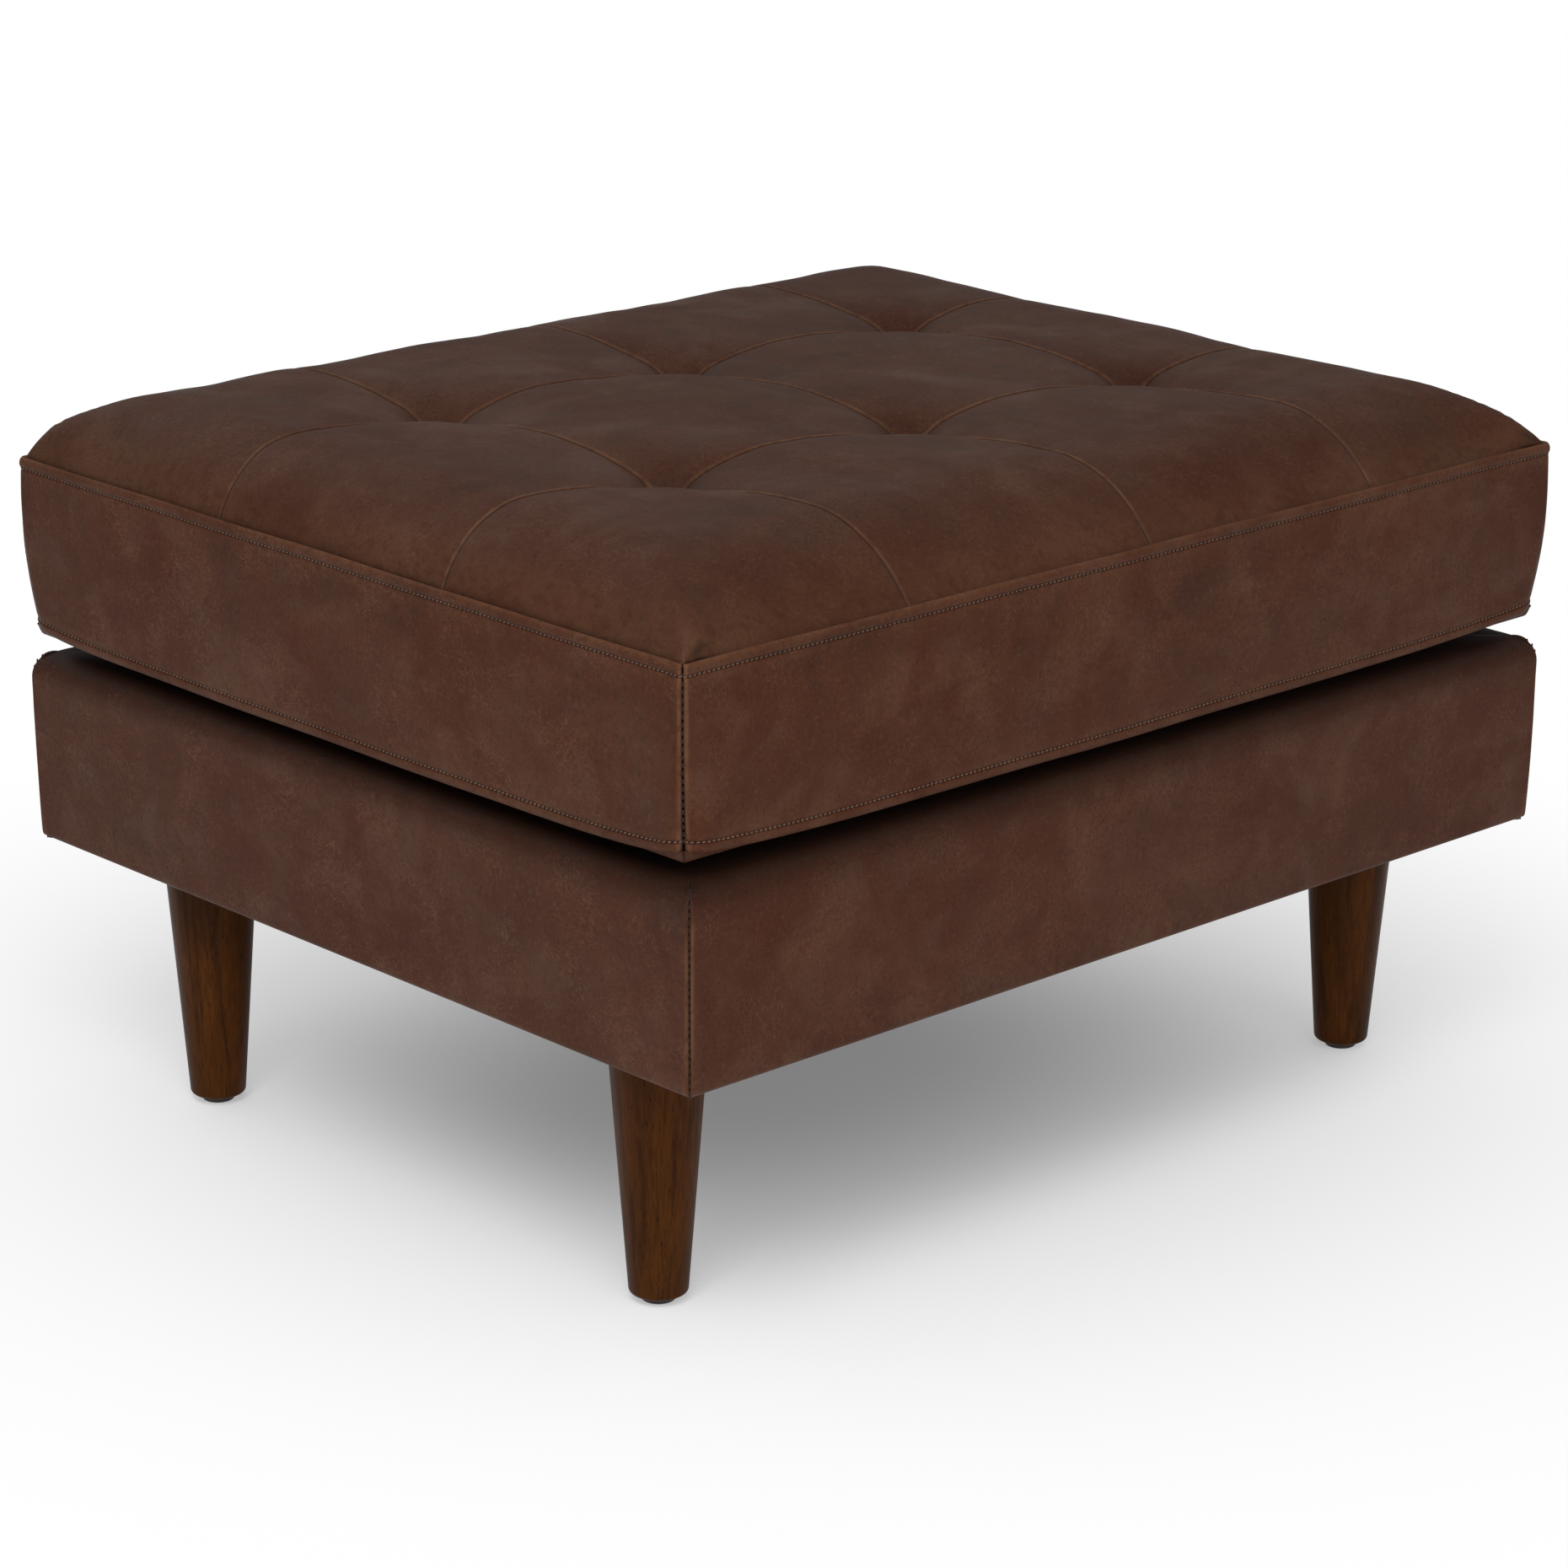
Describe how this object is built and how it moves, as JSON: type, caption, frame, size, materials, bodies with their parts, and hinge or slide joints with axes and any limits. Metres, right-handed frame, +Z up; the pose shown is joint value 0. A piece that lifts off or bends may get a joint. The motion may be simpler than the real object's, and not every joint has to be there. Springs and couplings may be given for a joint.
{
  "type": "ottoman coffee table",
  "caption": "Rectangular upholstered ottoman coffee table: tufted loose leather cushion on a leather-covered base with tapered round wood legs.",
  "frame": {"origin": "on the floor, at the middle of the footprint", "axes": "+Z up, +X along the long sides, the front is at -Y"},
  "size_m": [0.71, 0.597, 0.443],
  "materials": {
    "cushion_leather": "dark brown waxed leather, satin",
    "base_leather": "dark brown waxed leather, satin",
    "fibre": "loose polyester fibre",
    "foam": "open-cell upholstery foam",
    "twine": "waxed twine",
    "anchor_plastic": "moulded",
    "zip_tape": "woven tape",
    "zip_coil": "moulded coil",
    "zip_metal": "dull antique",
    "frame_wood": "planed softwood",
    "block_wood": "plywood",
    "leg_wood": "walnut stain, satin lacquer",
    "webbing": "elastic webbing",
    "hessian": "plain weave",
    "platform_cloth": "plain weave",
    "dust_cloth": "spunbonded",
    "padding": "polyester padding",
    "steel": "zinc plated",
    "glide_plastic": "moulded"
  },
  "bodies": {
    "base": {"base_cover_front": "base_leather", "base_cover_back": "base_leather", "base_cover_left": "base_leather", "base_cover_right": "base_leather", "base_padding_front": "padding", "base_padding_back": "padding", "base_padding_left": "padding", "base_padding_right": "padding", "rail_front": "frame_wood", "rail_back": "frame_wood", "rail_left": "frame_wood", "rail_right": "frame_wood", "cross_rail": "frame_wood", "leg_block_front_left": "block_wood", "leg_block_front_right": "block_wood", "leg_block_back_left": "block_wood", "leg_block_back_right": "block_wood", "corner_post_front_left": "frame_wood", "corner_post_front_right": "frame_wood", "corner_post_back_left": "frame_wood", "corner_post_back_right": "frame_wood", "frame_screws": "steel", "webbing_lengthwise": "webbing", "webbing_crosswise": "webbing", "webbing_staples": "steel", "hessian": "hessian", "deck_foam": "foam", "platform_cloth": "platform_cloth", "dust_cover": "dust_cloth", "dust_cover_staples": "steel", "leg_front_left": "leg_wood", "leg_front_right": "leg_wood", "leg_back_left": "leg_wood", "leg_back_right": "leg_wood", "foot_glide_front_left": "glide_plastic", "foot_glide_front_right": "glide_plastic", "foot_glide_back_left": "glide_plastic", "foot_glide_back_right": "glide_plastic", "hanger_bolts": "steel", "bolt_nuts": "steel", "bolt_washers": "steel", "glide_nails": "steel"},
    "cushion": {"cushion_top_panels": "cushion_leather", "cushion_border_front": "cushion_leather", "cushion_border_back": "cushion_leather", "cushion_border_left": "cushion_leather", "cushion_border_right": "cushion_leather", "cushion_bottom_panel": "cushion_leather", "cushion_bottom_strip": "cushion_leather", "foam_core": "foam", "fibre_wrap_top": "fibre", "fibre_wrap_bottom": "fibre", "tufting_twine": "twine", "tuft_anchors": "anchor_plastic", "zip_tapes": "zip_tape", "zip_coils": "zip_coil", "zip_stops": "zip_metal"},
    "zip_slider": {"zip_slider": "zip_metal", "zip_pull": "zip_metal"}
  },
  "joints": [
    {"name": "cushion_lift", "type": "slide", "parent": "base", "child": "cushion", "axis": [0, 0, 1], "range_m": [0, 0.16]},
    {"name": "zip_travel", "type": "slide", "parent": "cushion", "child": "zip_slider", "axis": [1, 0, 0], "range_m": [0, 0.531]}
  ]
}
